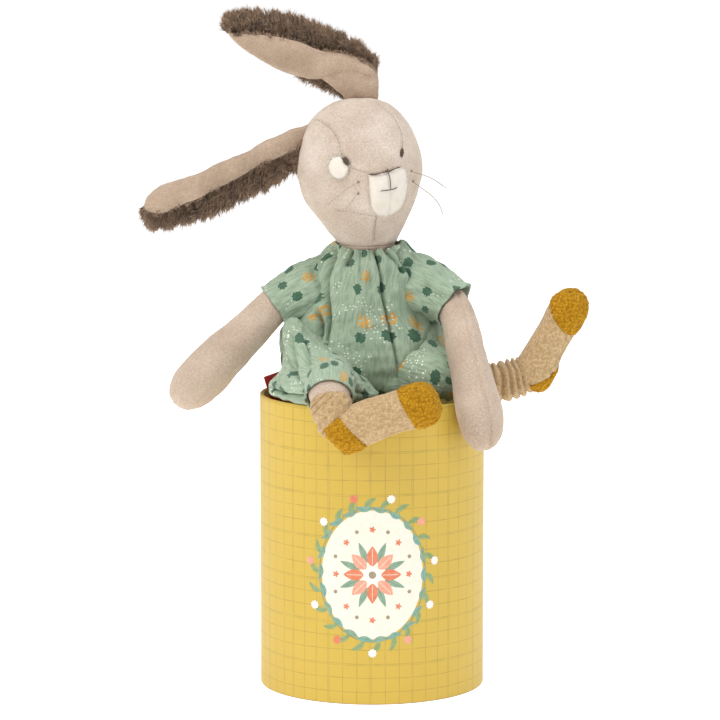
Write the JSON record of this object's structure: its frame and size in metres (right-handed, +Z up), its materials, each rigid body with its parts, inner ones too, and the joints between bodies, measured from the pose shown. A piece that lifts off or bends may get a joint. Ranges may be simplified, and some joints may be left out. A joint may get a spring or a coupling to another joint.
{
  "type": "rabbit doll in a gift drum",
  "caption": "Soft rabbit doll in a muslin romper and socks, with long fur-lined ears, sitting in the open mouth of a round board gift drum.",
  "frame": {"origin": "centre of the drum's foot, on the surface that it stands on", "axes": "+Z up along the drum's axis, -Y towards the front where the feet hang, +X towards the doll's left arm"},
  "size_m": [0.2564, 0.1568, 0.3902],
  "materials": {
    "grey_board": "matte spiral-wound board",
    "printed_paper": null,
    "lining_paper": "matte plain paper",
    "wadding": "loose polyester fibre",
    "muslin": "crinkled double gauze, sage green with a small leaf print",
    "elastic": "braided elastic",
    "tag_card": "smooth red card",
    "string": "twisted white cotton",
    "white_plush": "short white plush",
    "brown_thread": "satin-stitched embroidery thread",
    "whisker_bristle": "fine nylon bristle",
    "long_fur": "long pile faux fur",
    "melange_knit": "fine melange jersey knit",
    "ochre_terry": "short terry loops",
    "velour": "short pile taupe velour"
  },
  "bodies": {
    "drum": {"drum_tube": "grey_board", "drum_base": "grey_board", "drum_wrap": "printed_paper", "drum_lining": "lining_paper"},
    "torso": {"torso_skin": "velour", "torso_filling": "wadding", "romper_bodice": "muslin", "neck_elastic": "elastic", "hang_tag": "tag_card", "tag_string": "string"},
    "head": {"head_skin": "velour", "head_filling": "wadding", "muzzle_patch": "white_plush", "cheek_patch": "white_plush", "eye_right": "brown_thread", "eye_left": "brown_thread", "nose_stitch": "brown_thread", "mouth_stitch": "brown_thread", "whiskers_right": "whisker_bristle", "whiskers_left": "whisker_bristle"},
    "ear_right": {"ear_velour_right": "velour", "ear_fur_right": "long_fur"},
    "ear_left": {"ear_velour_left": "velour", "ear_fur_left": "long_fur"},
    "arm_right": {"arm_skin_right": "velour", "arm_filling_right": "wadding", "sleeve_right": "muslin"},
    "arm_left": {"arm_skin_left": "velour", "arm_filling_left": "wadding", "sleeve_left": "muslin"},
    "leg_right": {"leg_skin_right": "velour", "leg_filling_right": "wadding", "sock_right": "melange_knit", "sock_heel_right": "ochre_terry", "sock_toe_right": "ochre_terry", "trouser_right": "muslin", "leg_elastic_right": "elastic"},
    "leg_left": {"leg_skin_left": "velour", "leg_filling_left": "wadding", "sock_left": "melange_knit", "sock_heel_left": "ochre_terry", "sock_toe_left": "ochre_terry", "trouser_left": "muslin", "leg_elastic_left": "elastic"}
  },
  "joints": [
    {"name": "doll_lift", "type": "slide", "parent": "drum", "child": "torso", "axis": [0, 0, 1], "range_m": [0, 0.2]},
    {"name": "head_turn", "type": "hinge", "parent": "torso", "child": "head", "pos_m": [-0.003, 0.008, 0.2563], "axis": [0, 0, 1], "range_deg": [-25, 25]},
    {"name": "ear_right_flop", "type": "hinge", "parent": "head", "child": "ear_right", "pos_m": [-0.0418, 0.004, 0.311], "axis": [0, 0, 1], "range_deg": [-25, 25]},
    {"name": "ear_left_flop", "type": "hinge", "parent": "head", "child": "ear_left", "pos_m": [-0.007, 0.012, 0.3407], "axis": [1, 0, 0], "range_deg": [-25, 25]},
    {"name": "arm_right_swing", "type": "hinge", "parent": "torso", "child": "arm_right", "pos_m": [-0.038, 0.01, 0.233], "axis": [-1, 0, 0], "range_deg": [-30, 80]},
    {"name": "arm_left_swing", "type": "hinge", "parent": "torso", "child": "arm_left", "pos_m": [0.029, 0.006, 0.234], "axis": [-1, 0, 0], "range_deg": [0, 60]},
    {"name": "leg_right_raise", "type": "hinge", "parent": "torso", "child": "leg_right", "pos_m": [-0.024, 0, 0.184], "axis": [-1, 0, 0], "range_deg": [0, 20]},
    {"name": "leg_left_swing", "type": "hinge", "parent": "torso", "child": "leg_left", "pos_m": [0.018, 0, 0.184], "axis": [0, 0, 1], "range_deg": [0, 20]}
  ]
}
